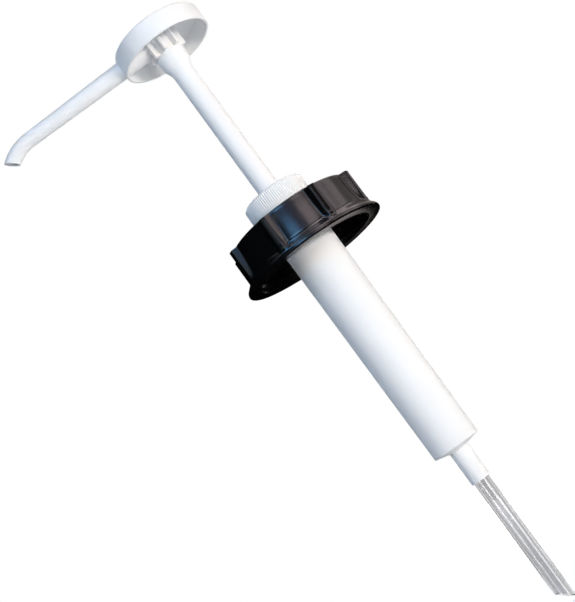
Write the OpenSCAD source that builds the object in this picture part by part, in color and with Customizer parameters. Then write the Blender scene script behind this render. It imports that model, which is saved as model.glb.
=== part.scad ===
// Hand dispensing pump for a jerrycan: a sprung plunger pump on a lugged screw cap.
// Millimetres, +Z up along the pump axis, spout along -X.
// The origin is the centre of the sealing face that seats on the container neck.

/* [Screw cap] */
// Diameter of the cap's mouth, which goes over the container neck
cap_mouth_d = 58.5; // [50:0.5:64]
// Depth of the mouth below the sealing face
cap_depth = 14.3; // [9:0.1:20]
// Thickness of the cap's roof
cap_roof = 2.4; // [1.8:0.1:4]
// Thickness of the cap's wall at its top
cap_wall = 2.05; // [1.6:0.05:3.5]
// How much further out the wall stands at its bottom than at its top
cap_draft = 0.9; // [0.2:0.1:1.5]
// Radius of the cap's top edge
cap_edge_r = 1.8; // [0.8:0.1:2.2]
// Width of the bottom flange outside the wall
cap_flange_w = 3.8; // [2.5:0.1:6]
// Thickness of the flange at its rim
cap_flange_t = 1.9; // [1.4:0.1:3]
// Radius of the hollow fillet between the wall and the flange
cap_fillet_r = 3; // [1:0.1:4]
// Number of grip lugs
lug_n = 8; // [6:1:10]
// Height of a lug outside the wall
lug_h = 2.2; // [1.5:0.1:3.4]
// Width of a lug's outer face
lug_face_w = 2.6; // [2:0.1:5]
// Width of a lug at its foot
lug_foot_w = 6.6; // [5.5:0.1:12]
// Drop from the cap's top to the lugs' tops
lug_drop = 0.9; // [0.3:0.1:3]
// Angle from +X to the first lug at rest
lug_phase = 27; // [0:0.5:45]

/* [Cylinder] */
// Bore of the cylinder
bore_d = 20.2; // [19:0.2:22]
// Length from the sealing face to the cylinder's lower edge
cylinder_len = 120.4; // [112:0.2:160]
// Wall of the cylinder under its flange
cylinder_wall_top = 2.3; // [1.8:0.1:3]
// Wall of the cylinder at its lower edge
cylinder_wall_low = 1.3; // [1:0.1:1.8]
// Wall of the cylinder's neck, which goes up through the cap
neck_wall = 1.9; // [1.5:0.1:2.5]
// Thickness of the flange
flange_t = 2.2; // [1.6:0.1:3]
// Thickness of the floor
floor_t = 2.6; // [2:0.1:4]
// Depth of the coned underside of the floor
floor_cone = 1.3; // [0.6:0.1:2]
// Bevel of the cylinder's lower edge
floor_edge = 0.5; // [0.2:0.1:0.8]
// Outer diameter of the dip-tube socket
socket_d = 9.35; // [8.9:0.05:11]
// Length of the dip-tube socket below the floor
socket_len = 16.5; // [12:0.5:24]

/* [Gasket] */
// Thickness of the neck gasket
gasket_t = 2; // [1.2:0.1:3]

/* [Dip tube] */
// Outer diameter of the dip tube
dip_od = 7.45; // [6.8:0.05:7.6]
// Bore of the dip tube
dip_id = 5.5; // [4.8:0.1:6]
// Length of the dip tube below its socket, at the axis
dip_show = 59.4; // [40:0.2:200]
// Slant of the cut end
dip_slant = 35; // [0:1:45]

/* [Collar nut] */
// Diameter over the knurl
collar_d = 30.9; // [29:0.1:36]
// Height of the nut
collar_h = 13.3; // [12:0.1:20]
// Thickness of the nut's roof
collar_roof = 2; // [1.5:0.1:3]
// Radius of the rounded shoulder
collar_shoulder_r = 1.8; // [1:0.1:2.4]
// Rise of the nut's crowned top towards the stem
collar_crown = 0.4; // [0.1:0.1:1]
// Height of the plain band under the knurl
collar_band = 4.4; // [2:0.1:6]
// Number of ribs in the knurl
knurl_n = 90; // [60:1:110]
// Depth of the knurl
knurl_depth = 0.35; // [0.2:0.05:0.6]

/* [Stem] */
// Diameter of the stem
stem_d = 10.6; // [9.6:0.1:11.6]
// Bore of the stem
stem_bore_d = 6.8; // [6.4:0.1:7.2]
// Length of stem that shows between the nut and the hub at rest
stem_show = 82.6; // [60:0.2:90]
// Diameter of the stem's flared top
stem_top_d = 14.6; // [13:0.1:15]
// Length of the flared top below the hub
stem_top_show = 4.9; // [3:0.1:8]
// Length of the taper from the flared top down to the stem
stem_taper = 5.6; // [4:0.1:10]
// Depth of the step above the piston
stem_step = 0.9; // [0.5:0.1:1.2]

/* [Head] */
// Diameter of the head
head_d = 45.8; // [38:0.2:56]
// Height of the head
head_h = 10.2; // [9.8:0.1:14]
// Thickness of the head's skirt
head_wall = 1.25; // [1:0.05:2]
// Thickness of the head's top
head_roof = 1.6; // [1.2:0.1:2.5]
// Radius of the head's top edge
head_edge_r = 1.2; // [0.6:0.1:1.6]
// Diameter of the hub's core
hub_d = 11.8; // [11:0.1:13]
// How far the hub hangs below the skirt
hub_drop = 1.8; // [0.5:0.1:4]
// Diameter of the spigot that plugs into the stem
spigot_d = 11.2; // [10:0.1:11.4]
// Length of the spigot
spigot_len = 6; // [4:0.1:8]
// Number of fins on the hub
fin_n = 8; // [4:2:12]
// Diameter over the fins
fin_d = 18.4; // [16:0.1:22]
// Thickness of a fin
fin_t = 1.4; // [0.8:0.1:2]

/* [Spout] */
// Distance from the axis to the start of the spout's bend
spout_reach = 77; // [50:1:110]
// Diameter of the spout at the head
spout_root_d = 8.8; // [8:0.1:9.2]
// Diameter of the spout at its bend and end
spout_end_d = 7.4; // [6.6:0.1:8]
// Wall of the spout
spout_wall = 0.95; // [0.8:0.05:1.4]
// Radius of the bend at the spout's centreline
spout_bend_r = 21.5; // [14:0.5:30]
// Angle of the bend at the centre of the end face
spout_bend = 39; // [25:1:60]
// Slant of the spout's end face from the horizontal
spout_slant = 36; // [20:1:60]

/* [Valves and piston] */
// Diameter of the inlet ball
inlet_ball_d = 8; // [7:0.1:9]
// Lift of the inlet ball
inlet_lift = 2.5; // [1.5:0.1:4]
// Diameter of the outlet ball
outlet_ball_d = 5; // [4.6:0.1:5.6]
// Lift of the outlet ball
outlet_lift = 2; // [1:0.1:4]
// Length of the piston
piston_len = 14; // [11:0.5:20]
// Width of a seal groove in the piston
seal_w = 3; // [2:0.1:4]
// Depth of a seal groove
seal_depth = 1.8; // [1.2:0.1:2.4]
// Length of the guide bush inside the cylinder
guide_len = 11.5; // [6:0.5:14]
// Thickness of the guide's flange
guide_flange_t = 1.5; // [1:0.1:2.5]
// Thickness of the stem wiper
wiper_t = 0.9; // [0.6:0.1:1.5]

/* [Return spring] */
// Diameter of the spring wire
wire_d = 1.4; // [1:0.1:1.6]
// Number of turns
coil_turns = 18; // [12:1:20]

/* [Clearances] */
// Play of the cap against the nut, the flange and the neck
cap_play = 0.3; // [0.2:0.05:0.5]
// Running clearance round the stem and the seals
run_gap = 0.06; // [0.03:0.01:0.1]
// Sliding clearance of the piston in the bore
slide_gap = 0.2; // [0.1:0.05:0.3]
// Gap between a ball and its seat, and between pieces that only rest together
rest_gap = 0.1; // [0.05:0.05:0.3]
// Gap between the piston and the guide above it at rest
top_gap = 0.3; // [0.1:0.1:1]
// Gap round the cylinder inside the gasket
gasket_gap = 0.6; // [0.3:0.1:2]
// Gap round the flange and the gasket inside the cap
flange_gap = 1.45; // [0.5:0.05:3]
// Gap between the spring and the bore
coil_gap = 1.2; // [0.8:0.1:1.6]
// Gap round the inlet ball inside its cage
cage_gap = 0.5; // [0.3:0.1:0.8]

/* [Hidden] */
$fn = 96;
// Steps in a rounded corner
arc_steps = 8;
// Overlap that makes cuts run clear of the faces they open
cut = 1;
white = [0.93, 0.93, 0.94];
natural = [0.86, 0.86, 0.82];
black = [0.05, 0.05, 0.055];
rubber = [0.16, 0.16, 0.17];
steel = [0.7, 0.71, 0.73];
clear = [0.82, 0.86, 0.88, 0.5];

// Radii that several pieces share
bore_r = bore_d / 2;
slide_r = bore_r - slide_gap;
neck_r = bore_r + neck_wall;
barrel_top_r = bore_r + cylinder_wall_top;
barrel_low_r = bore_r + cylinder_wall_low;
mouth_r = cap_mouth_d / 2;
flange_r = mouth_r - flange_gap;
stem_r = stem_d / 2;
stem_bore_r = stem_bore_d / 2;
stem_top_r = stem_top_d / 2;
spigot_r = spigot_d / 2;
dip_r = dip_od / 2;
dip_bore_r = dip_id / 2;
coil_r = bore_r - coil_gap - wire_d / 2;
inlet_ball_r = inlet_ball_d / 2;
outlet_ball_r = outlet_ball_d / 2;

// Heights up the stack, from the cap's mouth to the head's top
cap_bottom_z = -cap_depth;
flange_top_z = gasket_t + flange_t;
cap_ceiling_z = flange_top_z + cap_play;
cap_top_z = cap_ceiling_z + cap_roof;
collar_z = cap_top_z + cap_play;
collar_top_z = collar_z + collar_h;
wiper_z = collar_top_z - collar_roof - wiper_t;
cylinder_top_z = wiper_z - guide_flange_t;
guide_z = cylinder_top_z - guide_len;
hub_z = collar_top_z + stem_show;
rim_z = hub_z + hub_drop;
head_top_z = rim_z + head_h;
head_roof_z = head_top_z - head_roof;
flare_z = hub_z - stem_top_show;
taper_z = flare_z - stem_taper;

// Cap wall, and the 45 degree cone from its foot to the flange's rim
cap_wall_r = mouth_r + cap_wall;
cap_foot_r = cap_wall_r + cap_draft;
cap_flange_r = cap_foot_r + cap_flange_w;
flange_edge_r = 0.6;
cone_sum = cap_flange_r - 2 * flange_edge_r + flange_edge_r * sqrt(2) + cap_bottom_z + cap_flange_t;
fillet_z = cone_sum - cap_foot_r + cap_fillet_r * (sqrt(2) - 1);

// Piston under the guide, and the plug that holds it on the stem
piston_top_z = guide_z - top_gap;
piston_z = piston_top_z - piston_len;
stem_end_r = stem_r - stem_step;
stem_end_z = piston_z - rest_gap;
tip_flange_t = 2;
tip_flange_r = stem_r + stem_step;
tip_plug_len = 7;
tip_z = stem_end_z - tip_flange_t;
tip_top_z = stem_end_z + tip_plug_len;
tip_hole_d = 3.4;

// A ball on a 45 degree seat stands its radius times root two above the cone's point
outlet_ball_z = tip_top_z - outlet_ball_r + outlet_ball_r * sqrt(2) + rest_gap;
ball_stop_z = outlet_ball_z + outlet_ball_r + outlet_lift + rest_gap;
ball_stop_t = 1.5;
ball_stop_h = 3;

// Cylinder floor with the inlet ball's seat, its cage and the spring's seat
floor_z = -cylinder_len + floor_t;
socket_z = -cylinder_len - floor_cone - socket_len;
seat_lip = 1.2;
seat_land = 2;
inlet_seat_r = inlet_ball_r * sqrt(0.5) + seat_lip;
seat_point_z = floor_z - inlet_seat_r;
inlet_ball_z = seat_point_z + inlet_ball_r * sqrt(2) + rest_gap;
dip_top_z = seat_point_z + dip_bore_r - seat_land;
cage_wall = 1.6;
cage_bore_r = inlet_ball_r + cage_gap;
cage_r = cage_bore_r + cage_wall;
cage_roof_z = inlet_ball_z + inlet_ball_r + inlet_lift + rest_gap;
cage_roof_t = 1.8;
cage_foot_h = 5;
spring_seat_z = floor_z + cage_foot_h;

// Points of an arc of radius r about the centre c, from angle a to angle b
function arc(c, r, a, b) =
  [for (i = [0:arc_steps]) let (t = a + (b - a) * i / arc_steps) [c[0] + r * cos(t), c[1] + r * sin(t)]];

module revolve(outline) {
  rotate_extrude() polygon(outline);
}

// Flat ring between two radii
module ring(outer_r, inner_r, z, h) {
  translate([0, 0, z]) difference() {
    cylinder(r = outer_r, h = h);
    translate([0, 0, -cut]) cylinder(r = inner_r, h = h + 2 * cut);
  }
}

// Screw cap: drafted wall, rounded top edge, and a flange that flares out under a hollow fillet
module cap_body() {
  revolve(concat(
    [[0, cap_bottom_z], [cap_flange_r - flange_edge_r, cap_bottom_z]],
    arc([cap_flange_r - flange_edge_r, cap_bottom_z + flange_edge_r], flange_edge_r, -90, 0),
    arc([cap_flange_r - flange_edge_r, cap_bottom_z + cap_flange_t - flange_edge_r], flange_edge_r, 0, 45),
    arc([cap_foot_r + cap_fillet_r, fillet_z], cap_fillet_r, 225, 180),
    arc([cap_wall_r - cap_edge_r, cap_top_z - cap_edge_r], cap_edge_r, 0, 90),
    [[0, cap_top_z]]
  ));
}

// Outline of one lug from above, with flanks that run smoothly into the wall and the face
module lug_outline() {
  flank_w = (lug_foot_w - lug_face_w) / 2;
  foot_r = sqrt(pow(cap_wall_r, 2) - pow(lug_foot_w / 2, 2));
  rise = cap_foot_r + lug_h - foot_r;
  flank = [for (i = [0:arc_steps]) let (u = i / arc_steps)
    [foot_r + rise * (1 - cos(180 * u)) / 2, lug_foot_w / 2 - flank_w * u]];
  polygon(concat(
    [[foot_r - cap_wall / 2, -lug_foot_w / 2]],
    [for (p = flank) [p[0], -p[1]]],
    [for (i = [arc_steps:-1:0]) flank[i]],
    [[foot_r - cap_wall / 2, lug_foot_w / 2]]
  ));
}

module cap_lugs() {
  lug_top_z = cap_top_z - lug_drop;
  lug_top_r = cap_foot_r + lug_h - cap_draft / 3;
  lug_edge_r = lug_h / 3;
  intersection() {
    revolve(concat(
      [[0, cap_bottom_z + cap_flange_t], [cap_foot_r + lug_h, cap_bottom_z + cap_flange_t]],
      arc([lug_top_r - lug_edge_r, lug_top_z - lug_edge_r], lug_edge_r, 0, 90),
      [[0, lug_top_z]]
    ));
    translate([0, 0, cap_bottom_z]) linear_extrude(cap_top_z - cap_bottom_z)
      for (i = [0:lug_n - 1]) rotate(lug_phase + i * 360 / lug_n) lug_outline();
  }
}

module screw_cap() {
  color(black) difference() {
    union() {
      cap_body();
      cap_lugs();
    }
    translate([0, 0, cap_bottom_z - cut]) cylinder(r = mouth_r, h = cap_ceiling_z - cap_bottom_z + cut);
    translate([0, 0, cap_ceiling_z - cut]) cylinder(r = neck_r + cap_play, h = cap_roof + 2 * cut);
  }
}

module neck_gasket() {
  color(rubber) ring(flange_r, barrel_top_r + gasket_gap, 0, gasket_t);
}

// Cylinder: neck, flange, tapered barrel, coned floor with the inlet seat, and dip-tube socket
module pump_cylinder() {
  color(white) difference() {
    revolve([[0, socket_z], [socket_d / 2, socket_z], [socket_d / 2, -cylinder_len - floor_cone],
      [barrel_low_r - floor_edge, -cylinder_len], [barrel_low_r, -cylinder_len + floor_edge],
      [barrel_top_r, gasket_t], [flange_r, gasket_t], [flange_r, flange_top_z],
      [neck_r, flange_top_z], [neck_r, cylinder_top_z], [0, cylinder_top_z]]);
    translate([0, 0, floor_z]) cylinder(r = bore_r, h = cylinder_top_z - floor_z + cut);
    translate([0, 0, seat_point_z]) cylinder(r1 = 0, r2 = inlet_seat_r + cut, h = inlet_seat_r + cut);
    translate([0, 0, dip_top_z - cut]) cylinder(r = dip_bore_r, h = floor_z - dip_top_z);
    translate([0, 0, socket_z - cut]) cylinder(r = dip_r, h = dip_top_z - socket_z + cut);
  }
}

// Dip tube, pushed up into its socket, with a slanted end
module dip_tube() {
  end_z = socket_z - dip_show;
  color(clear) difference() {
    ring(dip_r, dip_bore_r, end_z - dip_od, dip_top_z - end_z + dip_od);
    translate([0, 0, end_z]) rotate([0, dip_slant, 0]) translate([-dip_od, -dip_od, -3 * dip_od])
      cube([2 * dip_od, 2 * dip_od, 3 * dip_od]);
  }
}

// Cage over the inlet ball: a foot that carries the spring, and a windowed tower with a perforated roof
module inlet_valve_cage() {
  window_w = cage_bore_r;
  color(natural) difference() {
    union() {
      ring(slide_r, cage_bore_r, floor_z, cage_foot_h);
      ring(cage_r, cage_bore_r, floor_z, cage_roof_z - floor_z + cage_roof_t);
      ring(cage_r, inlet_ball_r / 2, cage_roof_z, cage_roof_t);
    }
    for (a = [45, 135]) rotate(a)
      translate([-cage_r - cut, -window_w / 2, spring_seat_z])
        cube([2 * (cage_r + cut), window_w, cage_roof_z - spring_seat_z]);
  }
}

module inlet_ball() {
  color(steel) translate([0, 0, inlet_ball_z]) sphere(inlet_ball_r);
}

// Guide bush: a flange on the cylinder's top and a body down in the bore
module stem_guide() {
  color(natural) difference() {
    union() {
      translate([0, 0, cylinder_top_z]) cylinder(r = neck_r, h = guide_flange_t);
      translate([0, 0, guide_z]) cylinder(r = bore_r, h = guide_len + guide_flange_t);
    }
    translate([0, 0, guide_z - cut]) cylinder(r = stem_r + run_gap, h = guide_len + guide_flange_t + 2 * cut);
  }
}

module stem_wiper() {
  color(rubber) ring(neck_r, stem_r + run_gap, wiper_z, wiper_t);
}

// Knurled outline of the nut from above
module knurl_outline() {
  polygon([for (i = [0:2 * knurl_n - 1]) let (r = collar_d / 2 - knurl_depth * (i % 2), a = i * 180 / knurl_n)
    [r * cos(a), r * sin(a)]]);
}

module collar_nut() {
  collar_r = collar_d / 2;
  shoulder_z = collar_top_z - collar_crown - collar_shoulder_r;
  color(white) difference() {
    union() {
      translate([0, 0, collar_z]) cylinder(r = collar_r - knurl_depth / 2, h = collar_band);
      intersection() {
        translate([0, 0, collar_z + collar_band / 2]) linear_extrude(collar_h) knurl_outline();
        revolve(concat(
          [[0, collar_z + collar_band], [collar_r, collar_z + collar_band]],
          arc([collar_r - collar_shoulder_r, shoulder_z], collar_shoulder_r, 0, 90),
          [[stem_top_r, collar_top_z], [0, collar_top_z]]
        ));
      }
    }
    translate([0, 0, collar_z - cut]) cylinder(r = neck_r, h = wiper_z + wiper_t - collar_z + cut);
    translate([0, 0, wiper_z]) cylinder(r = stem_r + cap_play, h = collar_top_z - wiper_z + cut);
  }
}

// Stem: stepped end for the piston, long shank, taper, and flared top with the spigot's socket
module stem() {
  color(white) difference() {
    revolve([[0, stem_end_z], [stem_end_r, stem_end_z], [stem_end_r, piston_top_z + rest_gap],
      [stem_r, piston_top_z + rest_gap], [stem_r, taper_z], [stem_top_r, flare_z], [stem_top_r, hub_z],
      [0, hub_z]]);
    translate([0, 0, stem_end_z - cut]) cylinder(r = stem_bore_r, h = hub_z - stem_end_z + 2 * cut);
    translate([0, 0, hub_z - spigot_len]) cylinder(r = spigot_r, h = spigot_len + cut);
  }
}

// Plug in the stem's end: a flange under the piston, and a coned seat for the outlet ball
module stem_tip() {
  color(natural) difference() {
    union() {
      translate([0, 0, tip_z]) cylinder(r = tip_flange_r, h = tip_flange_t);
      translate([0, 0, tip_z]) cylinder(r = stem_bore_r, h = tip_top_z - tip_z);
    }
    translate([0, 0, tip_z - cut]) cylinder(d = tip_hole_d, h = tip_top_z - tip_z + 2 * cut);
    translate([0, 0, tip_top_z - outlet_ball_r])
      cylinder(r1 = 0, r2 = outlet_ball_r + cut, h = outlet_ball_r + cut);
  }
}

module outlet_ball() {
  color(steel) translate([0, 0, outlet_ball_z]) sphere(outlet_ball_r);
}

// Star insert in the stem's bore, which stops the ball and lets the liquid past
module outlet_ball_stop() {
  color(natural) intersection() {
    translate([0, 0, ball_stop_z]) cylinder(r = stem_bore_r, h = ball_stop_h);
    for (a = [0, 60, 120]) rotate(a)
      translate([-stem_bore_r - cut, -ball_stop_t / 2, ball_stop_z])
        cube([2 * (stem_bore_r + cut), ball_stop_t, ball_stop_h]);
  }
}

// Seal grooves: their lower faces, the same distance in from each end of the piston
groove_land = 2;
lower_groove_z = piston_z + groove_land;
upper_groove_z = piston_top_z - groove_land - seal_w;

module piston() {
  color(natural) difference() {
    translate([0, 0, piston_z]) cylinder(r = slide_r, h = piston_len);
    translate([0, 0, piston_z - cut]) cylinder(r = stem_end_r + run_gap, h = piston_len + 2 * cut);
    for (z = [lower_groove_z, upper_groove_z]) ring(bore_r + cut, slide_r - seal_depth, z, seal_w);
  }
}

// Lip ring in a groove: square heel inside, lip to the bore; flip turns the lip upwards
module lip_seal(z, flip) {
  heel_r = slide_r - seal_depth;
  lip_r = bore_r - run_gap;
  heel_w = seal_w / 2;
  profile = [[heel_r, 0], [lip_r, 0], [lip_r, heel_w / 2], [slide_r - slide_gap, heel_w],
    [heel_r + seal_depth / 2, heel_w], [heel_r + seal_depth / 3, seal_w], [heel_r, seal_w]];
  color(rubber) revolve([for (p = profile) [p[0], z + (flip ? seal_w - p[1] : p[1])]]);
}

module upper_piston_seal() {
  lip_seal(upper_groove_z, true);
}

module lower_piston_seal() {
  lip_seal(lower_groove_z, false);
}

// Return spring: one wire wound up from the cage to the piston, with close end turns
ring_steps = 8;
wire_sides = 6;
coil_rings = coil_turns * ring_steps;
coil_low_z = spring_seat_z + rest_gap + wire_d / 2;
coil_high_z = piston_z - rest_gap - wire_d / 2;
end_gap = 0.7;
end_pitch = wire_d + end_gap;
mid_pitch = (coil_high_z - coil_low_z - 2 * end_pitch) / (coil_turns - 2);
function coil_z(n) = coil_low_z + (n < 1 ? n * end_pitch : n > coil_turns - 1
  ? 2 * end_pitch + (coil_turns - 2) * mid_pitch - (coil_turns - n) * end_pitch
  : end_pitch + (n - 1) * mid_pitch);
function coil_point(i, r, z) = let (n = i / ring_steps) [r * cos(360 * n), r * sin(360 * n), coil_z(n) + z];
coil_line = [for (i = [0:coil_rings]) coil_point(i, coil_r, 0)];
least_gap = min([for (i = [0:coil_rings - ring_steps]) norm(coil_line[i] - coil_line[i + ring_steps])]) - wire_d;
echo(least_gap_in_the_spring = least_gap);

module return_spring() {
  points = [for (i = [0:coil_rings]) for (k = [0:wire_sides - 1]) let (a = 360 * k / wire_sides)
    coil_point(i, coil_r + wire_d / 2 * cos(a), wire_d / 2 * sin(a))];
  sides = [for (i = [0:coil_rings - 1]) for (k = [0:wire_sides - 1])
    let (a = i * wire_sides + k, b = i * wire_sides + (k + 1) % wire_sides)
    each [[a, a + wire_sides, b], [b, a + wire_sides, b + wire_sides]]];
  last = coil_rings * wire_sides;
  ends = [for (k = [1:wire_sides - 2]) each [[0, k, k + 1], [last, last + k + 1, last + k]]];
  color(steel) polyhedron(points, concat(sides, ends));
}

// Spout: its axis height, its radii, and one route for the tube and for its bore
spout_z = head_top_z - spout_root_d / 2 - rest_gap;
spout_root_r = spout_root_d / 2;
spout_end_r = spout_end_d / 2;
hub_bore_r = spout_root_r - spout_wall + rest_gap;

module spout_route(root_r, end_r, sweep) {
  skirt_r = head_d / 2 - head_wall / 2;
  translate([0, 0, spout_z]) {
    rotate([0, -90, 0]) cylinder(r = root_r, h = skirt_r);
    translate([-skirt_r, 0, 0]) rotate([0, -90, 0])
      cylinder(r1 = root_r, r2 = end_r, h = spout_reach - skirt_r);
    translate([-spout_reach, 0, -spout_bend_r]) rotate([90, 0, 0]) rotate(90)
      rotate_extrude(angle = sweep) translate([spout_bend_r, 0]) circle(end_r);
  }
}

// Cup of the head, open downwards
module head_cup() {
  head_r = head_d / 2;
  difference() {
    revolve(concat(
      [[0, rim_z], [head_r, rim_z]],
      arc([head_r - head_edge_r, head_top_z - head_edge_r], head_edge_r, 0, 90),
      [[0, head_top_z]]
    ));
    translate([0, 0, rim_z - cut]) cylinder(r = head_r - head_wall, h = head_roof_z - rim_z + cut);
  }
}

// Core, fins and spigot under the head's top
module hub() {
  hub_h = head_top_z - head_roof / 2 - hub_z;
  translate([0, 0, hub_z]) cylinder(d = hub_d, h = hub_h);
  translate([0, 0, hub_z - spigot_len]) cylinder(r = spigot_r, h = spigot_len + hub_h);
  intersection() {
    translate([0, 0, hub_z]) cylinder(d = fin_d, h = hub_h);
    for (i = [0:fin_n - 1]) rotate(i * 360 / fin_n)
      translate([0, -fin_t / 2, hub_z]) cube([fin_d, fin_t, hub_h]);
  }
}

// Half-space below the slanted end of the spout
module spout_end_cut() {
  reach = 2 * spout_bend_r;
  translate([-spout_reach, 0, spout_z - spout_bend_r]) rotate([0, -spout_bend, 0])
    translate([0, 0, spout_bend_r]) rotate([0, spout_bend + spout_slant, 0])
      translate([-reach, -reach, -2 * reach]) cube(2 * reach);
}

// Head: cup, finned hub and spout, bored from the spigot's foot to the spout's end
module pump_head() {
  spare = 25;
  color(white) difference() {
    union() {
      head_cup();
      hub();
      difference() {
        spout_route(spout_root_r, spout_end_r, spout_bend + spare);
        spout_end_cut();
      }
    }
    translate([0, 0, hub_z - spigot_len - cut])
      cylinder(r = hub_bore_r, h = head_roof_z - hub_z + spigot_len + cut);
    spout_route(spout_root_r - spout_wall, spout_end_r - spout_wall, spout_bend + 2 * spare);
  }
}

pump_head();
stem();
stem_tip();
outlet_ball();
outlet_ball_stop();
piston();
upper_piston_seal();
lower_piston_seal();
return_spring();
stem_guide();
stem_wiper();
collar_nut();
screw_cap();
neck_gasket();
pump_cylinder();
inlet_valve_cage();
inlet_ball();
dip_tube();
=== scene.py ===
"""Looks of a hand dispensing pump for a jerrycan, in metres, with +Z up the pump's axis."""
import math

import bmesh
import bpy
import numpy as np
from mathutils import Matrix, Vector


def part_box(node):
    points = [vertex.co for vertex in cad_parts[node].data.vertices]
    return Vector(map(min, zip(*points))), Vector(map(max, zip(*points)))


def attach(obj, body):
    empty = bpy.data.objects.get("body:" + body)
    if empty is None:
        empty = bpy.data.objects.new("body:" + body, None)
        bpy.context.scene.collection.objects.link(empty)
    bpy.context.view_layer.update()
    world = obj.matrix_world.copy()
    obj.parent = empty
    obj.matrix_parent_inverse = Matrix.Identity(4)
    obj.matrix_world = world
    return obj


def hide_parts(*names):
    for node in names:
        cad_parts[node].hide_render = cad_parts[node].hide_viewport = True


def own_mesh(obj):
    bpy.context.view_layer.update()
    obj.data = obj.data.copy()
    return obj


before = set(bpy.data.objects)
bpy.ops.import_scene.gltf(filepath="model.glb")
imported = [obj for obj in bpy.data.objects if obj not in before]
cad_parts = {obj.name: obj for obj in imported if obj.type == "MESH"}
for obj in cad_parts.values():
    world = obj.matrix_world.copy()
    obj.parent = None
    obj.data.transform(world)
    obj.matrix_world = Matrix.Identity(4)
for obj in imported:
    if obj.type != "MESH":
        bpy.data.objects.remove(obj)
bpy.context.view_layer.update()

# Pump cylinder: a white polypropylene moulding, tapered a little so that it leaves its mould.
# It hangs in the container by its flange, and the socket under its coned floor grips the dip tube.
MM = 0.001
weld = 0.001 * MM


def span(node):
    """Radius, foot height and top height of a round node."""
    low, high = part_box(node)
    return high.x, low.z, high.z


def polar(radius, angle, height):
    """A point at a radius, an angle round the pump's axis and a height."""
    return radius * math.cos(angle), radius * math.sin(angle), height


def arc(radius_at, height_at, radius, start, stop, steps=6):
    """Points of a rounded edge in an outline, about a centre, between two angles in degrees."""
    angles = np.radians(np.linspace(start, stop, steps + 1))
    return [(radius_at + radius * math.cos(a), height_at + radius * math.sin(a)) for a in angles]


def skin(name, rings, looped):
    """A closed mesh over rings of points: its ends are joined if it is looped, or else capped."""
    rings = np.array(rings, float)
    count, around = rings.shape[:2]
    faces = []
    for i in range(count if looped else count - 1):
        here, there = i * around, (i + 1) % count * around
        for k in range(around):
            after = (k + 1) % around
            faces.append((here + k, here + after, there + after, there + k))
    if not looped:
        faces += [tuple(range(around)), tuple(range((count - 1) * around, count * around))]
    mesh = bpy.data.meshes.new(name)
    mesh.from_pydata(rings.reshape(-1, 3).tolist(), [], faces)
    work = bmesh.new()
    work.from_mesh(mesh)
    bmesh.ops.remove_doubles(work, verts=work.verts, dist=weld)
    bmesh.ops.delete(work, geom=[e for e in work.edges if not e.link_faces], context="EDGES")
    bmesh.ops.recalc_face_normals(work, faces=work.faces)
    work.to_mesh(mesh)
    work.free()
    piece = bpy.data.objects.new(name, mesh)
    bpy.context.scene.collection.objects.link(piece)
    return piece


def turned(name, outline_at, columns=144):
    """A solid of revolution. Its closed outline, a list of (radius, height), may change with the angle."""
    angles = np.arange(columns) * 2 * math.pi / columns
    return skin(name, [[polar(r, a, z) for r, z in outline_at(a)] for a in angles], True)


def moulded(name, colour, roughness, mottle=0.015, mottle_size=14 * MM, grain=0.012 * MM,
            grain_size=0.5 * MM, **sockets):
    """A moulded finish: colour and polish drift over the surface, and the skin has a fine grain."""
    polish_drift = 0.15
    material = bpy.data.materials.new(name)
    material.use_nodes = True
    tree = material.node_tree
    shader = tree.nodes["Principled BSDF"]
    coordinates = tree.nodes.new("ShaderNodeTexCoord")
    clouds = tree.nodes.new("ShaderNodeTexNoise")
    clouds.inputs["Scale"].default_value = 1 / mottle_size
    clouds.inputs["Detail"].default_value = 4
    tree.links.new(coordinates.outputs["Object"], clouds.inputs["Vector"])
    tint = tree.nodes.new("ShaderNodeMix")
    tint.data_type = "RGBA"
    darker, lighter, mixed = tint.inputs[6], tint.inputs[7], tint.outputs[2]
    darker.default_value = (*[c * (1 - mottle) for c in colour], 1)
    lighter.default_value = (*[min(1, c * (1 + mottle)) for c in colour], 1)
    tree.links.new(clouds.outputs["Fac"], tint.inputs["Factor"])
    tree.links.new(mixed, shader.inputs["Base Color"])
    polish = tree.nodes.new("ShaderNodeMapRange")
    polish.inputs["To Min"].default_value = roughness * (1 - polish_drift)
    polish.inputs["To Max"].default_value = roughness * (1 + polish_drift)
    tree.links.new(clouds.outputs["Fac"], polish.inputs["Value"])
    tree.links.new(polish.outputs["Result"], shader.inputs["Roughness"])
    pits = tree.nodes.new("ShaderNodeTexNoise")
    pits.inputs["Scale"].default_value = 1 / grain_size
    tree.links.new(coordinates.outputs["Object"], pits.inputs["Vector"])
    bump = tree.nodes.new("ShaderNodeBump")
    bump.inputs["Distance"].default_value = grain
    tree.links.new(pits.outputs["Fac"], bump.inputs["Height"])
    tree.links.new(bump.outputs["Normal"], shader.inputs["Normal"])
    for socket, value in sockets.items():
        shader.inputs[socket.replace("_", " ")].default_value = value
    return material


def dress(piece, material, sharp=35):
    """Gives a piece its material and smooth shading. Edges past an angle in degrees stay crisp."""
    piece.data.materials.clear()
    piece.data.materials.append(material)
    piece.data.shade_smooth()
    piece.data.set_sharp_from_angle(angle=math.radians(sharp))


def seat(piece, body, slot, *stands_for):
    """Puts a piece on its body, with the solids that it stands for. Its finish slot is not used."""
    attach(piece, body)
    if stands_for:
        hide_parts(*stands_for)


white_plastic = moulded("white_plastic", (0.90, 0.90, 0.905), 0.5)

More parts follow.
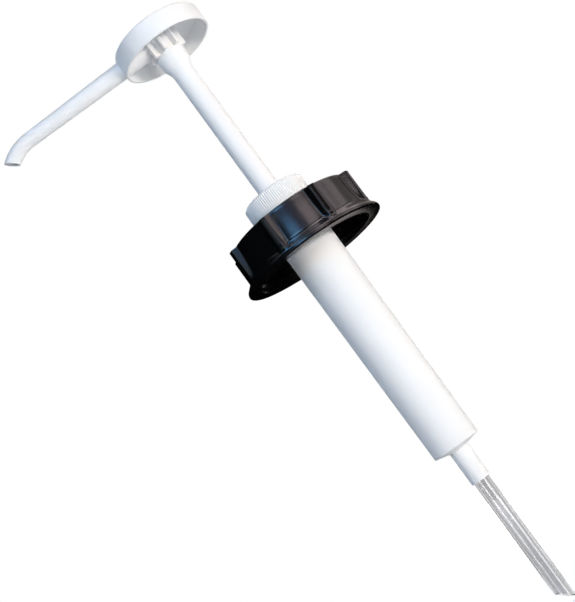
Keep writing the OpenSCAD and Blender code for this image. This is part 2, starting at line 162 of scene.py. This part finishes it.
flange_r, socket_foot, neck_top = span("pump_cylinder")
dip_r, dip_foot, dip_top = span("dip_tube")
neck_r = span("stem_guide")[0]
cage_r, floor_z = span("inlet_valve_cage")[:2]
gasket_top = span("neck_gasket")[2]
cage_gap = 0.2 * MM
bore_r = cage_r + cage_gap
flange_t = 2.2 * MM
barrel_top_r = 12.4 * MM
barrel_low_r = 11.4 * MM
floor_t = 2.6 * MM
barrel_foot = floor_z - floor_t
floor_cone = 1.3 * MM
floor_edge = 0.7 * MM
socket_r = 4.675 * MM
socket_fillet = 1.1 * MM
inlet_hole_r = 2.75 * MM
seat_r = 4.03 * MM
edge = 0.3 * MM

cone_slope = floor_cone / (barrel_low_r - floor_edge - socket_r)
cone_angle = math.degrees(math.atan(cone_slope))
cone_foot = barrel_foot - floor_cone
fillet_reach = socket_fillet * (1 - math.sin(math.radians(cone_angle)))
fillet_z = cone_foot + fillet_reach * cone_slope - socket_fillet * math.cos(math.radians(cone_angle))
cylinder_outline = [
    (dip_r, socket_foot),
    *arc(socket_r - edge, socket_foot + edge, edge, -90, 0, 3),
    *arc(socket_r + socket_fillet, fillet_z, socket_fillet, 180, 90 + cone_angle),
    *arc(barrel_low_r - floor_edge, barrel_foot + floor_edge, floor_edge, cone_angle - 90, 0),
    (barrel_top_r, gasket_top),
    (flange_r, gasket_top),
    (flange_r, gasket_top + flange_t),
    (neck_r, gasket_top + flange_t),
    (neck_r, neck_top),
    (bore_r, neck_top),
    (bore_r, floor_z),
    (seat_r, floor_z),
    (inlet_hole_r, floor_z - seat_r + inlet_hole_r),
    (inlet_hole_r, dip_top),
    (dip_r, dip_top),
]
cylinder = turned("cylinder_moulding", lambda angle: cylinder_outline)
dress(cylinder, white_plastic)
seat(cylinder, "barrel", "white_plastic", "pump_cylinder")

# Dip tube: clear extruded tube, pushed up into the socket, with its lower end cut on a slant.
# Two lighter lengthwise lines along its wall are painted highlights, at fixed places across it.
dip_bore_r = 2.75 * MM
dip_slant = math.radians(35)
tube_edge = 0.12 * MM
dip_end = dip_foot + dip_r * math.tan(dip_slant)


def dip_outline(angle):
    """Outline of the tube's wall at an angle: its foot lies on the slanted cut."""
    def cut(radius):
        return dip_end - radius * math.cos(angle) * math.tan(dip_slant)

    return [
        (dip_bore_r, dip_top), (dip_bore_r, cut(dip_bore_r) + tube_edge),
        (dip_bore_r + tube_edge, cut(dip_bore_r + tube_edge)),
        (dip_r - tube_edge, cut(dip_r - tube_edge)),
        (dip_r, cut(dip_r) + tube_edge), (dip_r, dip_top),
    ]


def clear_tubing(name, wall, lines):
    """Clear plastic with a grey cast, and lighter lines along it as painted highlights: (place across,
    half width, colour).
    """
    material = bpy.data.materials.new(name)
    material.use_nodes = True
    tree = material.node_tree
    shader = tree.nodes["Principled BSDF"]
    shader.inputs["Transmission Weight"].default_value = 1
    shader.inputs["IOR"].default_value = 1.4
    coordinates = tree.nodes.new("ShaderNodeTexCoord")
    parts = tree.nodes.new("ShaderNodeSeparateXYZ")
    tree.links.new(coordinates.outputs["Object"], parts.inputs["Vector"])
    across = tree.nodes.new("ShaderNodeMapRange")
    across.inputs["From Min"].default_value = -dip_r
    across.inputs["From Max"].default_value = dip_r
    tree.links.new(parts.outputs["X"], across.inputs["Value"])
    tint = tree.nodes.new("ShaderNodeValToRGB")
    ramp = tint.color_ramp
    ramp.elements[0].color = ramp.elements[1].color = (*wall, 1)
    # Each line is a painted highlight, lighter than the wall and blended into it at both sides.
    for place, half, colour in lines:
        for offset, shade in ((-half, wall), (0, colour), (half, wall)):
            ramp.elements.new((1 + place + offset) / 2).color = (*shade, 1)
    tree.links.new(across.outputs["Result"], tint.inputs["Fac"])
    tree.links.new(tint.outputs["Color"], shader.inputs["Base Color"])
    scuffs = tree.nodes.new("ShaderNodeTexNoise")
    scuffs.inputs["Scale"].default_value = 60
    tree.links.new(coordinates.outputs["Object"], scuffs.inputs["Vector"])
    polish = tree.nodes.new("ShaderNodeMapRange")
    polish.inputs["To Min"].default_value = 0.02
    polish.inputs["To Max"].default_value = 0.08
    tree.links.new(scuffs.outputs["Fac"], polish.inputs["Value"])
    tree.links.new(polish.outputs["Result"], shader.inputs["Roughness"])
    return material


tube_grey = (0.62, 0.62, 0.63)
# Painted highlights: two lighter lines in the tube's colour, at fixed places across it, stand in for
# reflections.
painted_tube_highlights = [(-0.33, 0.16, (0.8, 0.8, 0.81)), (0.40, 0.17, (0.98, 0.98, 0.98))]
clear_plastic = clear_tubing("clear_plastic", tube_grey, painted_tube_highlights)
dip_tube = turned("dip_tubing", dip_outline, columns=72)
dress(dip_tube, clear_plastic)
seat(dip_tube, "barrel", "clear_tube", "dip_tube")

# Inlet valve: a polished steel ball on the cylinder's coned floor, under a natural polyethylene cage.
# The cage's windows let the liquid past, and its foot carries the return spring.
natural_plastic = moulded(
    "natural_plastic", (0.80, 0.80, 0.75), 0.5, Subsurface_Weight=0.15, Subsurface_Scale=2 * MM)
ball_steel = moulded(
    "ball_steel", (0.78, 0.79, 0.80), 0.12, mottle=0.02, mottle_size=3 * MM, grain=0.001 * MM,
    grain_size=0.1 * MM, Metallic=1)
dress(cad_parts["inlet_valve_cage"], natural_plastic)
dress(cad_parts["inlet_ball"], ball_steel)

# Return spring: one stainless wire wound from the cage's foot up to the piston, with close end turns.
# It is drawn as a smooth coil.
wire_r = 0.7 * MM
coil_turns = 18
turn_steps = 32
wire_sides = 12
coil_r = span("return_spring")[0] - wire_r
coil_foot = span("return_spring")[1] + wire_r
coil_length = span("return_spring")[2] - wire_r - coil_foot
end_pitch = 2.1 * MM
turns = np.arange(coil_turns * turn_steps + 1) / turn_steps
heights = coil_foot + np.interp(
    turns, [0, 1, coil_turns - 1, coil_turns], [0, end_pitch, coil_length - end_pitch, coil_length])
wire_rings = []
for turn, height in zip(turns, heights):
    section = arc(coil_r, height, wire_r, 0, 360 - 360 / wire_sides, wire_sides - 1)
    wire_rings.append([polar(r, 2 * math.pi * turn, z) for r, z in section])
spring_steel = moulded(
    "spring_steel", (0.60, 0.61, 0.63), 0.32, mottle=0.06, mottle_size=2 * MM, grain=0.004 * MM,
    grain_size=0.15 * MM, Metallic=1)
spring = skin("spring_wire", wire_rings, False)
dress(spring, spring_steel)
seat(spring, "barrel", "spring_steel", "return_spring")
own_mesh(spring)

# Piston: a natural polyethylene bobbin on the stem's end, with a rubber lip ring in each groove.
# The plug in the stem's end holds it on, and the plug's coned seat and steel ball are the outlet valve.
seal_rubber = moulded(
    "seal_rubber", (0.035, 0.035, 0.038), 0.7, mottle=0.12, mottle_size=4 * MM, grain=0.02 * MM,
    grain_size=0.25 * MM)
for node in ("piston", "stem_tip", "outlet_ball_stop"):
    dress(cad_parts[node], natural_plastic)
for node in ("upper_piston_seal", "lower_piston_seal"):
    dress(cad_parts[node], seal_rubber)
dress(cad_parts["outlet_ball"], ball_steel)

# Stem: a white polypropylene tube that carries the liquid up from the piston to the head.
# Its flared top is a socket, which the head's spigot is pushed into.
flare_r, stem_foot, stem_top = span("stem")
piston_top = span("piston")[2]
stem_r = 5.3 * MM
stem_end_r = 4.4 * MM
stem_bore_r = 3.4 * MM
flare_show = 4.9 * MM
taper_length = 5.6 * MM
taper_edge = 1.5 * MM
taper_ease = 0.1 * MM
taper_turn = 0.4 * MM
spigot_r = 5.6 * MM
spigot_length = 6 * MM
rest_gap = 0.1 * MM
step_z = piston_top + rest_gap
flare_foot = stem_top - flare_show
taper_foot = flare_foot - taper_length
stem_outline = [
    (stem_bore_r, stem_foot), (stem_end_r, stem_foot), (stem_end_r, step_z), (stem_r, step_z),
    (stem_r, taper_foot - taper_edge), (stem_r + taper_ease, taper_foot),
    (stem_r + taper_turn, taper_foot + taper_edge), (flare_r - taper_turn, flare_foot - taper_edge),
    (flare_r - taper_ease, flare_foot), (flare_r, flare_foot + taper_edge),
    *arc(flare_r - edge, stem_top - edge, edge, 0, 90, 3),
    (spigot_r, stem_top), (spigot_r, stem_top - spigot_length), (stem_bore_r, stem_top - spigot_length),
]
stem = turned("stem_moulding", lambda angle: stem_outline, columns=96)
dress(stem, white_plastic)
seat(stem, "plunger", "white_plastic", "stem")

# Stem guide and wiper: a natural polyethylene bush in the cylinder's top, under a soft rubber washer.
# The nut clamps both down on the cylinder's neck.
dress(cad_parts["stem_guide"], natural_plastic)
dress(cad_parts["stem_wiper"], seal_rubber)

# Neck gasket: a flat rubber ring, cut from sheet, under the cylinder's flange.
# The cap draws the flange down on it, and it seals on the rim of the container's neck.
dress(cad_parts["neck_gasket"], seal_rubber)

# Screw cap: a glossy black polypropylene moulding with eight grip lugs and a flared bottom flange.
# It turns freely between the nut and the cylinder's flange, and screws on the container's neck.
cap_flange_r, cap_foot, cap_top = span("screw_cap")
mouth_r = 29.25 * MM
cap_play = 0.3 * MM
cap_hole_r = neck_r + cap_play
ceiling_z = gasket_top + flange_t + cap_play
cap_wall_r = 31.3 * MM
cap_draft = 0.9 * MM
cap_edge_r = 1.8 * MM
cap_flange_t = 1.9 * MM
cap_fillet_r = 3 * MM
rim_edge = 0.6 * MM
rim_roll = 2 * MM
mouth_edge = 0.5 * MM
ceiling_fillet = 1 * MM
lug_count = 8
lug_phase = math.radians(27.5)
lug_r = 34.5 * MM
lug_face = 2.6 * MM
lug_base = 6.6 * MM
lug_drop = 0.9 * MM
lug_top = cap_top - lug_drop
lug_edge = 0.7 * MM
lug_blend = 0.6 * MM
lug_shelf = 0.12 * MM
lug_corner = 0.2
wall_rows = 26

wall_foot_r = cap_wall_r + cap_draft
edge_z = cap_top - cap_edge_r
rim_r = cap_flange_r - rim_edge
cone_sum = cap_flange_r + cap_foot + cap_flange_t - rim_edge * (2 - math.sqrt(2))
roll_r = cap_flange_r - rim_roll
roll_z = cone_sum - roll_r - rim_roll * math.sqrt(2)
cone_z = roll_z + rim_roll * math.sqrt(0.5)
fillet_top = cone_sum - wall_foot_r + cap_fillet_r * (math.sqrt(2) - 1)
fillet_foot = fillet_top - cap_fillet_r * math.sqrt(0.5)


def wall_r(height):
    """Radius of the cap's wall, which spreads towards its foot and rounds over into the top."""
    if height > edge_z:
        return cap_wall_r - cap_edge_r + math.sqrt(max(cap_edge_r ** 2 - (height - edge_z) ** 2, 0))
    down = min((edge_z - height) / (edge_z - fillet_top), 1)
    return cap_wall_r + cap_draft * down ** 2


def body_r(height):
    """Radius of the cap without its lugs: cone of the flange, hollow fillet, wall."""
    if height < fillet_foot:
        return cone_sum - height
    if height < fillet_top:
        return wall_foot_r + cap_fillet_r - math.sqrt(cap_fillet_r ** 2 - (fillet_top - height) ** 2)
    return wall_r(height)


def softened(depth, blend=lug_blend):
    """Zero below the surface and the depth above it, with a soft change between."""
    if abs(depth) >= blend:
        return max(depth, 0)
    return (depth + blend) ** 2 / (4 * blend)


def cap_outline(angle):
    """Outline of the cap at an angle: flange, lug or wall, top, neck hole, ceiling and mouth."""
    spacing = 2 * math.pi / lug_count
    off = abs((angle - lug_phase + spacing / 2) % spacing - spacing / 2) * wall_foot_r
    flank = (lug_base / 2 - off) / (lug_base / 2 - lug_face / 2)
    lug = 1 - softened(1 - softened(flank, lug_corner), lug_corner)
    outline = [(mouth_r + mouth_edge, cap_foot)]
    outline += arc(rim_r, cap_foot + rim_edge, rim_edge, -90, 0, 4)
    outline += arc(roll_r, roll_z, rim_roll, 0, 45, 6)
    for height in np.linspace(cone_z, lug_top - lug_edge, wall_rows)[1:]:
        wall, body = wall_r(height), body_r(height)
        raised = wall + lug * (lug_r - wall)
        outline.append((body + softened(raised - body) - softened(wall - body), height))
    top_r = lug_r - lug_edge
    for radius, height in arc(top_r, lug_top - lug_edge, lug_edge, 0, 90, 3)[1:]:
        wall = wall_r(height)
        outline.append((wall + lug * (radius - wall), height))
    for share in (0.5, 1):
        wall = wall_r(lug_top + lug_shelf * share)
        outline.append((wall + lug * (top_r - wall) * (1 - share), lug_top + lug_shelf * share))
    start = math.degrees(math.asin((lug_top + lug_shelf - edge_z) / cap_edge_r))
    outline += arc(cap_wall_r - cap_edge_r, edge_z, cap_edge_r, start, 90, 8)[1:]
    outline += [(cap_hole_r + edge, cap_top), (cap_hole_r, cap_top - edge), (cap_hole_r, ceiling_z)]
    outline += arc(mouth_r - ceiling_fillet, ceiling_z - ceiling_fillet, ceiling_fillet, 90, 0, 4)
    outline.append((mouth_r, cap_foot + mouth_edge))
    return outline


black_plastic = moulded(
    "black_plastic", (0.003, 0.003, 0.0033), 0.2, mottle=0.1, mottle_size=9 * MM, grain=0.05 * MM,
    grain_size=5 * MM)
cap = turned("cap_moulding", cap_outline, columns=640)
dress(cap, black_plastic)
seat(cap, "cap", "black_plastic", "screw_cap")

# Cap thread: a right-handed ridge with sloping flanks, moulded on the wall of the cap's mouth.
# It runs a little over one and a half turns, fades out at both ends, and is sunk a little into the wall.
thread_pitch = 5 * MM
thread_turns = 1.6
thread_height = 1.1 * MM
thread_base = 3 * MM
thread_crest = 1.1 * MM
thread_sink = 0.2 * MM
thread_start = 1.9 * MM
thread_steps = 160
fade_turns = 0.125
fade_least = 0.05
thread_rings = []
for turn in np.linspace(0, thread_turns, thread_steps):
    fade = min(1, min(turn, thread_turns - turn) / fade_turns + fade_least)
    centre = cap_foot + thread_start + thread_pitch * turn
    ring = []
    for depth, half in ((-thread_sink, thread_base), (0, thread_base), (thread_height, thread_crest)):
        ring.append((mouth_r - depth * fade, centre - half / 2))
    ring += [(r, 2 * centre - z) for r, z in reversed(ring)]
    thread_rings.append([polar(r, 2 * math.pi * turn, z) for r, z in ring])
thread = skin("cap_thread", thread_rings, False)
dress(thread, black_plastic)
seat(thread, "cap", "black_plastic")

# Collar nut: a white polypropylene nut with a finely knurled side over a plain band, and a crowned top.
# It screws down on the cylinder's neck, and holds the wiper, the guide and the cap.
nut_r, nut_foot, nut_top = span("collar_nut")
nut_gap = 0.3 * MM
nut_hole_r = stem_r + nut_gap
nut_roof = 2 * MM
nut_shoulder = 1.8 * MM
nut_crown = 0.4 * MM
nut_band = 4.4 * MM
knurl_count = 90
knurl_depth = 0.4 * MM
rib_columns = 8


def nut_outline(angle):
    """Outline of the nut at an angle: the plain band, a rib or a groove, the shoulder and the roof."""
    groove = knurl_depth * (1 - abs(math.cos(knurl_count * angle / 2)))
    band_r = nut_r - knurl_depth / 2
    shoulder_z = nut_top - nut_crown - nut_shoulder
    outline = [(neck_r, nut_foot), (band_r - edge, nut_foot), (band_r, nut_foot + edge)]
    outline += [(band_r, nut_foot + nut_band), (nut_r - groove, nut_foot + nut_band + edge)]
    outline.append((nut_r - groove, shoulder_z))
    for radius, height in arc(nut_r - nut_shoulder, shoulder_z, nut_shoulder, 0, 90, 8)[1:]:
        outline.append((radius - groove * max(0, 1 - (height - shoulder_z) / nut_shoulder), height))
    outline += [(flare_r, nut_top), (nut_hole_r + edge, nut_top), (nut_hole_r, nut_top - edge)]
    outline += [(nut_hole_r, nut_top - nut_roof), (neck_r, nut_top - nut_roof)]
    return outline


nut = turned("collar_nut_moulding", nut_outline, columns=knurl_count * rib_columns)
dress(nut, white_plastic, sharp=50)
seat(nut, "barrel", "white_plastic", "collar_nut")

# Pump head: one white polypropylene moulding, a shallow cup that the palm presses, with its spout.
# Eight fins stiffen the hub under its top and rest on the stem's rim, and the spigot plugs into the stem.
# The liquid comes up a well in the hub, and a passage through the hub's wall leads it into the spout.
head_r = span("pump_head")[0]
head_top = span("pump_head")[2]
hub_foot = stem_top
head_height = 10.2 * MM
head_foot = head_top - head_height
head_wall = 1.25 * MM
head_roof = 1.6 * MM
head_edge = 1.2 * MM
rim_round = 0.35 * MM
roof_fillet = 0.8 * MM
gate_r = 1.4 * MM
gate_floor_r = 0.7 * gate_r
gate_depth = 0.35 * MM
hub_r = 5.9 * MM
hub_bore_r = 3.55 * MM
push_fit = 0.02 * MM
fin_count = 8
fin_reach = 9.2 * MM
fin_half = 0.7 * MM
spout_reach = 77 * MM
spout_root_r = 4.4 * MM
spout_end_r = 3.7 * MM
spout_wall = 0.95 * MM
spout_bend_r = 21.5 * MM
spout_bend = math.radians(39)
spout_slant = math.radians(36)
spout_sides = 64
straight_rings = 18
bend_rings = 15
lip_bulge = 0.004
spout_z = head_top - spout_root_r - rest_gap
inner_r = head_r - head_wall
roof_z = head_top - head_roof

cup_outline = [
    (0, head_top - gate_depth), (gate_floor_r, head_top - gate_depth), (gate_r, head_top),
    *arc(head_r - head_edge, head_top - head_edge, head_edge, 90, 0, 8),
    *arc(head_r - rim_round, head_foot + rim_round, rim_round, 0, -90, 4),
    *arc(inner_r + rim_round, head_foot + rim_round, rim_round, -90, -180, 4),
    *arc(inner_r - roof_fillet, roof_z - roof_fillet, roof_fillet, 0, 90, 5),
    (0, roof_z),
]
cup = turned("head_moulding", lambda angle: cup_outline, columns=160)


def hub_outline(angle):
    """Outline of the hub at an angle: spigot, and the core or a fin with parallel flanks."""
    spacing = 2 * math.pi / fin_count
    off = math.sin(abs((angle + spacing / 2) % spacing - spacing / 2))
    reach = max(fin_half / off, hub_r) if off * fin_reach > fin_half else fin_reach
    spigot_foot = hub_foot - spigot_length
    plugged_r = spigot_r - push_fit
    hub_top = head_top - head_roof / 2
    return [
        (hub_bore_r, spigot_foot), (spigot_r - edge, spigot_foot), (plugged_r, spigot_foot + edge),
        (plugged_r, hub_foot), (reach, hub_foot), (reach, hub_top), (hub_bore_r, hub_top),
    ]


hub = turned("head_hub", hub_outline, columns=480)


def spout_ring(along, radius_root, radius_end):
    """One ring of the spout: along runs from 0 at the axis, to 1 at the bend, to 2 at the slanted end."""
    ring = []
    inside_skirt = (head_r - head_wall / 2) / spout_reach
    taper = min(max((along - inside_skirt) / (1 - inside_skirt), 0), 1)
    radius = radius_root + (radius_end - radius_root) * taper
    for b in np.arange(spout_sides) * 2 * math.pi / spout_sides:
        out, side = radius * math.cos(b), radius * math.sin(b)
        swing = spout_bend_r + out
        full = math.acos(spout_bend_r * math.cos(spout_bend + spout_slant) / swing) - spout_slant
        turn = full * max(along - 1, 0)
        x = -spout_reach * min(along, 1) - swing * math.sin(turn)
        ring.append((x, side, spout_z - spout_bend_r + swing * math.cos(turn)))
    return ring


hub_share = hub_r / 2 / spout_reach
stations = [*np.linspace(hub_share, 1, straight_rings), *np.linspace(1, 2, bend_rings)[1:]]
outer_rings = [spout_ring(s, spout_root_r, spout_end_r) for s in stations]
lip_ring = [spout_ring(2 + lip_bulge, spout_root_r - spout_wall / 2, spout_end_r - spout_wall / 2)]
bore_rings = [spout_ring(s, spout_root_r - spout_wall, spout_end_r - spout_wall) for s in stations[:0:-1]]
spout = skin("head_spout", outer_rings + lip_ring + bore_rings, False)
inside_head, inside_hub = stations[:9], (0, *stations[1:4])
plug_rings = [spout_ring(s, spout_root_r - spout_wall / 2, spout_end_r) for s in inside_head]
plug = skin("spout_plug", plug_rings, False)
passage_r = spout_root_r - spout_wall - push_fit
passage = skin("spout_passage", [spout_ring(s, passage_r, passage_r) for s in inside_hub], False)
well_r = hub_bore_r - push_fit
well_outline = [(0, hub_foot), (well_r, hub_foot), (well_r, roof_z - push_fit), (0, roof_z - push_fit)]
well = turned("hub_well", lambda angle: well_outline, columns=96)


def carve(piece, tool, operation):
    """Joins a closed tool piece to another, or cuts it away, and drops the tool."""
    change = piece.modifiers.new(operation, "BOOLEAN")
    change.operation = operation
    change.solver = "MANIFOLD"
    change.object = tool
    bpy.context.view_layer.update()
    result = bpy.data.meshes.new_from_object(piece.evaluated_get(bpy.context.evaluated_depsgraph_get()))
    piece.modifiers.clear()
    piece.data = result
    bpy.data.objects.remove(tool)


carve(cup, plug, "DIFFERENCE")
carve(cup, hub, "UNION")
carve(cup, spout, "UNION")
carve(cup, passage, "DIFFERENCE")
carve(cup, well, "DIFFERENCE")
dress(cup, white_plastic)
seat(cup, "plunger", "white_plastic", "pump_head")

# Floor and backdrop: a round matt white table under the pump, in a surround that is white to the camera.
# The table keeps the pump's soft shadow, glows a little more towards its rim to meet the white behind it,
# and is clear from below.
floor_r = 0.9
floor_gap = 0.3 * MM
floor_sides = 96
floor_glow = 0.1
shadow_near, shadow_far = 0.28, 0.6
glow_near, glow_far = 0.61, 0.85
floor_mesh = bpy.data.meshes.new("floor")
floor_angles = np.arange(floor_sides) * 2 * math.pi / floor_sides
floor_rim = [polar(floor_r, a, dip_foot - floor_gap) for a in floor_angles]
floor_mesh.from_pydata(floor_rim, [], [range(len(floor_rim))])
floor = bpy.data.objects.new("floor", floor_mesh)
bpy.context.scene.collection.objects.link(floor)


def seen_directly(tree):
    """A factor of 1 for rays from the camera, a mirror surface or clear plastic, and 0 for the rest."""
    path = tree.nodes.new("ShaderNodeLightPath")
    total = path.outputs["Is Camera Ray"]
    for ray in ("Is Glossy Ray", "Is Transmission Ray"):
        larger = tree.nodes.new("ShaderNodeMath")
        larger.operation = "MAXIMUM"
        tree.links.new(total, larger.inputs[0])
        tree.links.new(path.outputs[ray], larger.inputs[1])
        total = larger.outputs["Value"]
    return total


floor_paint = bpy.data.materials.new("floor_paint")
floor_paint.use_nodes = True
floor_tree = floor_paint.node_tree
floor_shader = floor_tree.nodes["Principled BSDF"]
floor_shader.inputs["Base Color"].default_value = (0.8, 0.8, 0.8, 1)
floor_shader.inputs["Roughness"].default_value = 0.9
floor_shader.inputs["Specular IOR Level"].default_value = 0
floor_shader.inputs["Emission Color"].default_value = (1, 1, 1, 1)
lift = floor_tree.nodes.new("ShaderNodeMath")
lift.operation = "MULTIPLY"
floor_tree.links.new(seen_directly(floor_tree), lift.inputs[0])
floor_place = floor_tree.nodes.new("ShaderNodeNewGeometry")
from_origin = floor_tree.nodes.new("ShaderNodeVectorMath")
from_origin.operation = "LENGTH"
floor_tree.links.new(floor_place.outputs["Position"], from_origin.inputs[0])
blend = floor_tree.nodes.new("ShaderNodeMapRange")
blend.inputs["From Min"].default_value = shadow_near
blend.inputs["From Max"].default_value = shadow_far
blend.inputs["To Min"].default_value = glow_near
blend.inputs["To Max"].default_value = glow_far
floor_tree.links.new(from_origin.outputs["Value"], blend.inputs["Value"])
floor_tree.links.new(blend.outputs["Result"], lift.inputs[1])
bounce = floor_tree.nodes.new("ShaderNodeMath")
bounce.operation = "MAXIMUM"
bounce.inputs[1].default_value = floor_glow
floor_tree.links.new(lift.outputs["Value"], bounce.inputs[0])
floor_tree.links.new(bounce.outputs["Value"], floor_shader.inputs["Emission Strength"])
underside = floor_tree.nodes.new("ShaderNodeMixShader")
see_through = floor_tree.nodes.new("ShaderNodeBsdfTransparent")
floor_tree.links.new(floor_place.outputs["Backfacing"], underside.inputs["Fac"])
floor_tree.links.new(floor_shader.outputs["BSDF"], underside.inputs[1])
floor_tree.links.new(see_through.outputs["BSDF"], underside.inputs[2])
floor_tree.links.new(underside.outputs["Shader"], floor_tree.nodes["Material Output"].inputs["Surface"])
floor_mesh.materials.append(floor_paint)

world = bpy.data.worlds.new("studio")
bpy.context.scene.world = world
world.use_nodes = True
sky = world.node_tree
ambient = sky.nodes["Background"]
ambient.inputs["Color"].default_value = (0.50, 0.70, 1.0, 1)
ambient.inputs["Strength"].default_value = 0.07
white = sky.nodes.new("ShaderNodeBackground")
white.inputs["Color"].default_value = (1, 1, 1, 1)
either = sky.nodes.new("ShaderNodeMixShader")
sky.links.new(seen_directly(sky), either.inputs["Fac"])
sky.links.new(ambient.outputs["Background"], either.inputs[1])
sky.links.new(white.outputs["Background"], either.inputs[2])
sky.links.new(either.outputs["Shader"], sky.nodes["World Output"].inputs["Surface"])

# Studio lights: a warm softbox low on the right of the camera, a weaker one in front, a blue window light
# and a paler one on the left, a wide top light, and soft lights at the far right and behind.
# The cards and flags round them are seen only in reflections.
aim = Vector((0, 0, -0.02))


def towards(azimuth, elevation, distance):
    """A point round the pump: azimuth 0 is the camera's side, and it grows to the right, in degrees."""
    a, e = math.radians(azimuth), math.radians(elevation)
    return aim + distance * Vector((math.sin(a) * math.cos(e), -math.cos(a) * math.cos(e), math.sin(e)))


def softbox(name, azimuth, elevation, distance, width, height, watts, colour):
    """A rectangular lamp that faces the pump: its place in degrees and metres, size, power and colour."""
    lamp = bpy.data.lights.new(name, "AREA")
    lamp.shape = "RECTANGLE"
    lamp.size, lamp.size_y = width, height
    lamp.energy = watts
    lamp.color = colour
    holder = bpy.data.objects.new(name, lamp)
    holder.location = towards(azimuth, elevation, distance)
    holder.rotation_euler = (aim - holder.location).to_track_quat("-Z", "Y").to_euler()
    holder.visible_camera = False
    holder.visible_glossy = False
    bpy.context.scene.collection.objects.link(holder)


softbox("key_light", 42, -9, 0.9, 0.3, 0.15, 6.1, (1.0, 0.94, 0.90))
softbox("front_light", 18, 5, 0.9, 0.25, 0.2, 1.6, (1.0, 0.90, 0.70))
softbox("window_light", -20, 15, 1.0, 0.2, 0.2, 2.0, (0.38, 0.68, 1.0))
softbox("left_light", -60, 33, 1.0, 0.25, 0.25, 1.2, (0.80, 0.83, 1.0))
softbox("right_light", 110, -10, 0.9, 0.25, 0.2, 2.0, (0.95, 1.0, 1.0))
softbox("top_light", 20, 85, 2.2, 2.5, 2.5, 8.5, (0.98, 0.99, 1.0))
softbox("back_light", 190, 25, 1.6, 1.4, 0.9, 13, (1.0, 0.98, 0.95))


def card(name, azimuths, elevations, distance, glow):
    """A curved panel between two azimuths and two elevations: a dark flag, or a card with a glow."""
    step = 6
    columns = np.linspace(*azimuths, int(abs(azimuths[1] - azimuths[0]) / step) + 2)
    rows = np.linspace(*elevations, int(abs(elevations[1] - elevations[0]) / step) + 2)
    points = [towards(azimuth, elevation, distance) for azimuth in columns for elevation in rows]
    faces = []
    for i in range(len(columns) - 1):
        for k in range(len(rows) - 1):
            first = i * len(rows) + k
            faces.append((first, first + 1, first + len(rows) + 1, first + len(rows)))
    mesh = bpy.data.meshes.new(name)
    mesh.from_pydata(points, [], faces)
    paint = bpy.data.materials.new(name)
    paint.use_nodes = True
    shader = paint.node_tree.nodes["Principled BSDF"]
    shader.inputs["Base Color"].default_value = (0, 0, 0, 1)
    shader.inputs["Specular IOR Level"].default_value = 0
    shader.inputs["Emission Color"].default_value = (*[c / max(*glow, 1) for c in glow], 1)
    shader.inputs["Emission Strength"].default_value = max(*glow, 1)
    mesh.materials.append(paint)
    panel = bpy.data.objects.new(name, mesh)
    bpy.context.scene.collection.objects.link(panel)
    for ray in ("camera", "diffuse", "transmission", "shadow"):
        setattr(panel, "visible_" + ray, False)


card("wide_flag", (-180, 180), (-8, 80), 1.3, (0, 0, 0))
card("low_flag", (0, 360), (-80, -2), 0.19, (0, 0, 0))
card("floor_card", (166, 180), (-40, -14), 0.18, (0.8, 0.73, 0.73))
card("far_floor_card", (166, 180), (-14, -9), 0.18, (0.2, 0.18, 0.16))
card("dim_card", (-34, -12), (6, 17), 1.0, (0.9, 1.1, 1.2))
card("low_blue_card", (-14, 2), (8, 21), 1.0, (0.5, 0.75, 1.3))
card("blue_card", (-14, 2), (21, 32), 1.0, (1.1, 2.7, 5.0))
card("high_blue_card", (-18, 2), (32, 52), 1.0, (2.6, 5.4, 9.0))
card("grey_card", (2, 20), (8, 50), 1.0, (0.5, 0.5, 0.75))
card("warm_card", (20, 40), (14, 48), 1.0, (3.3, 2.8, 2.9))
card("edge_card", (52, 66), (22, 40), 1.0, (3.0, 2.6, 2.6))
card("face_card", (66, 80), (8, 40), 1.0, (2.4, 2.1, 2.2))
card("side_card", (82, 102), (8, 50), 1.0, (2.1, 1.8, 1.8))
card("far_card", (102, 168), (12, 38), 1.0, (0.5, 0.46, 0.44))
card("rim_card", (115, 155), (38, 76), 1.0, (1.7, 1.45, 1.45))
card("high_card", (40, 100), (60, 78), 1.0, (4.5, 4.0, 4.3))
card("roof_card", (-110, -20), (74, 88), 1.0, (1.5, 3.8, 7.0))

# Camera: low in front of the pump and looking up at it.
# It is turned a little to the left and rolled, so that the pump leans across the picture.
image_height = 602
focal_pixels = 1229.19
sensor = 36
eye = Vector((0, -0.54566, -0.11679))
pan, pitch, roll = -0.0420, 0.1679, -0.6246
forward = Vector((math.sin(pan) * math.cos(pitch), math.cos(pan) * math.cos(pitch), math.sin(pitch)))
right = Vector((math.cos(pan), -math.sin(pan), 0))
up = right.cross(forward)
across = right * math.cos(roll) + up * math.sin(roll)
upright = up * math.cos(roll) - right * math.sin(roll)
camera_data = bpy.data.cameras.new("camera")
camera_data.sensor_width = sensor
camera_data.lens = focal_pixels * sensor / image_height
camera_data.clip_start, camera_data.clip_end = 0.01, 50
camera = bpy.data.objects.new("camera", camera_data)
camera.matrix_world = Matrix.Translation(eye) @ Matrix((across, upright, -forward)).transposed().to_4x4()
bpy.context.scene.collection.objects.link(camera)
bpy.context.scene.camera = camera
bpy.context.scene.view_settings.view_transform = "Standard"
